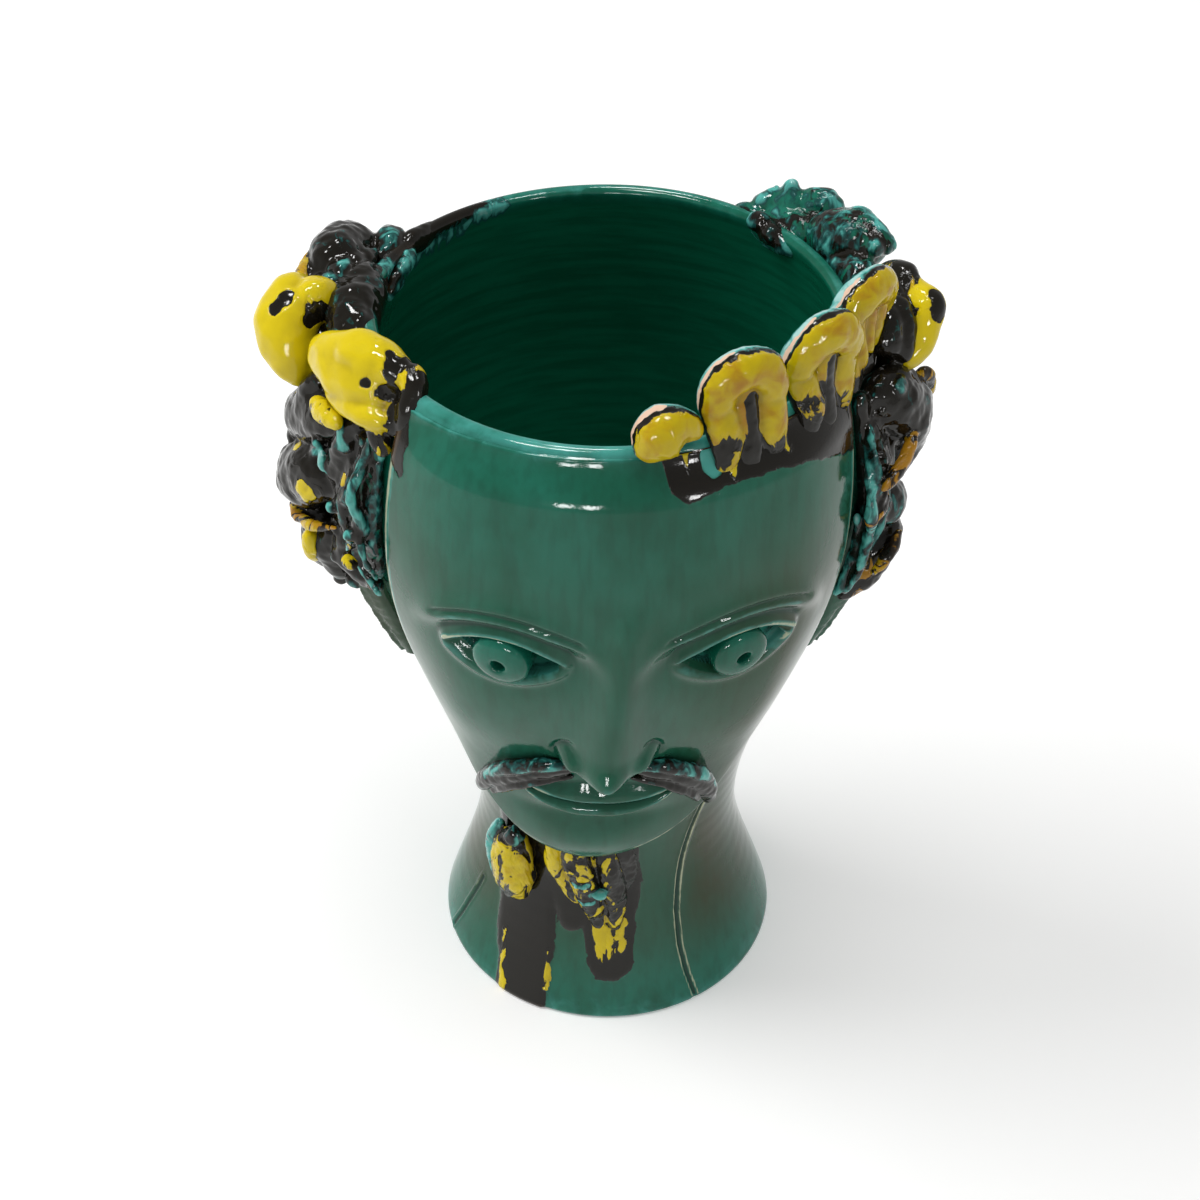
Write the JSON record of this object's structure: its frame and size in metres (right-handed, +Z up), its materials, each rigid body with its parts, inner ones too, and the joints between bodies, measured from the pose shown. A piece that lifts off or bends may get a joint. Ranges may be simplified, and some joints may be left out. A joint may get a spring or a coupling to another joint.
{
  "type": "head vase",
  "caption": "Wheel-thrown glazed vase in the shape of a crowned head, with a pierced-eyed face slab, piled coil hair, a scalloped crown and a tufted beard.",
  "frame": {"origin": "centre of the round base, on the plane it stands on", "axes": "+Z up along the vessel's axis; the face looks along -Y; +X is to the viewer's right, the side that carries the crown"},
  "size_m": [0.2148, 0.1822, 0.3067],
  "materials": {
    "green_glaze": "glossy",
    "brown_glaze": "glossy",
    "yellow_glaze": "glossy"
  },
  "bodies": {
    "root": {"beard_left_run": "brown_glaze", "beard_left_tuft": "brown_glaze", "beard_right_run": "brown_glaze", "beard_right_tuft": "brown_glaze", "crown_arch_1": "yellow_glaze", "crown_arch_2": "yellow_glaze", "crown_arch_3": "yellow_glaze", "crown_knob": "yellow_glaze", "face_slab": "green_glaze", "hair_left_back_petal": "yellow_glaze", "hair_left_crest": "brown_glaze", "hair_left_front_petal": "yellow_glaze", "hair_left_hanging_lobe": "brown_glaze", "hair_left_lower_lock": "brown_glaze", "hair_left_middle_lock": "brown_glaze", "hair_left_rim_fold": "brown_glaze", "hair_left_rim_gob": "brown_glaze", "hair_left_temple_strand": "brown_glaze", "hair_left_upper_lock": "brown_glaze", "hair_right_hanging_lobe": "brown_glaze", "hair_right_loop": "yellow_glaze", "hair_right_lower_lock": "brown_glaze", "hair_right_middle_lock": "brown_glaze", "hair_right_ribbon": "brown_glaze", "hair_right_rim_gob": "brown_glaze", "hair_right_rim_knob": "brown_glaze", "hair_right_upper_lock": "brown_glaze", "left_ear": "green_glaze", "left_eyeball": "green_glaze", "lower_lip": "green_glaze", "moustache_left": "brown_glaze", "moustache_right": "brown_glaze", "nose": "green_glaze", "right_ear": "green_glaze", "right_eyeball": "green_glaze", "thrown_vessel": "green_glaze", "upper_lip": "green_glaze"}
  },
  "joints": []
}
